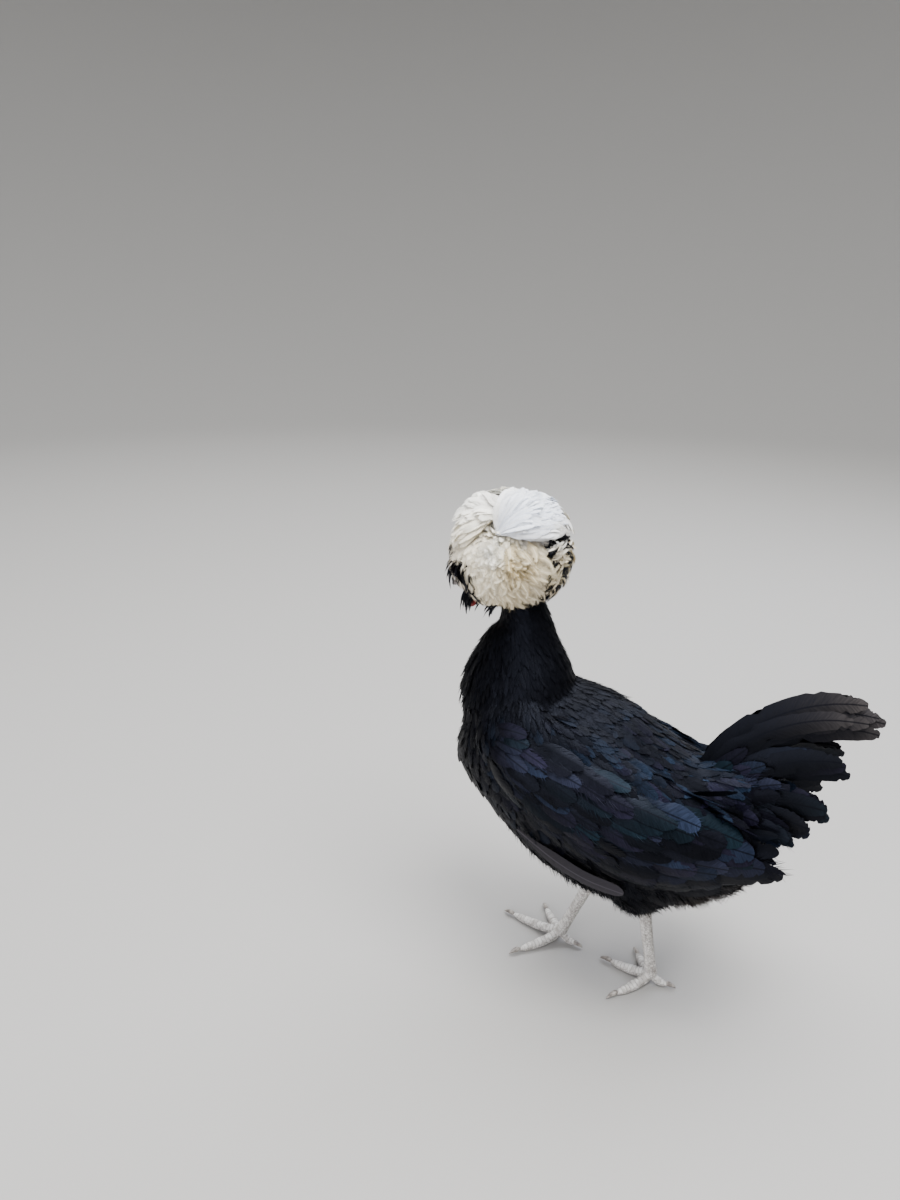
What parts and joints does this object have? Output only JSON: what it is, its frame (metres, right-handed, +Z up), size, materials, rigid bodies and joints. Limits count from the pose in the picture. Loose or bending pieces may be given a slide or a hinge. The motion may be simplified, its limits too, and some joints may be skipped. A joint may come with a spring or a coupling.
{
  "type": "polish crested chicken",
  "caption": "Life-size standing hen with a globe of white crest feathers, black body, folded wings, fanned tail and bare scaled legs in a walking pose.",
  "frame": {"origin": "on the floor, under the middle of the bounding box", "axes": "+Z up, the hen faces -Y, its left side is +X"},
  "size_m": [0.132, 0.291, 0.3653],
  "materials": {
    "body_feathers": "matte",
    "wing_feathers": "satin",
    "tail_feathers": "satin",
    "crest_feathers": "matte",
    "brow_feathers": "matte",
    "face_skin": "matte",
    "bill_horn": "satin",
    "comb_skin": "matte",
    "earlobe_skin": "matte",
    "eye": "gloss",
    "leg_scales": "matte",
    "claw_horn": "satin"
  },
  "bodies": {
    "root": {"torso": "body_feathers", "neck": "body_feathers", "thigh_left": "body_feathers", "thigh_right": "body_feathers", "wing_left": "wing_feathers", "wing_right": "wing_feathers", "tail": "tail_feathers", "crest": "crest_feathers", "crest_front": "brow_feathers", "head": "face_skin", "bill_upper": "bill_horn", "bill_lower": "bill_horn", "comb": "comb_skin", "wattle_left": "comb_skin", "wattle_right": "comb_skin", "earlobe_left": "earlobe_skin", "earlobe_right": "earlobe_skin", "eye_left": "eye", "eye_right": "eye", "shank_left": "leg_scales", "shank_right": "leg_scales", "claw_middle_left": "claw_horn", "claw_outer_left": "claw_horn", "claw_inner_left": "claw_horn", "claw_hind_left": "claw_horn", "claw_middle_right": "claw_horn", "claw_outer_right": "claw_horn", "claw_inner_right": "claw_horn", "claw_hind_right": "claw_horn"}
  },
  "joints": []
}
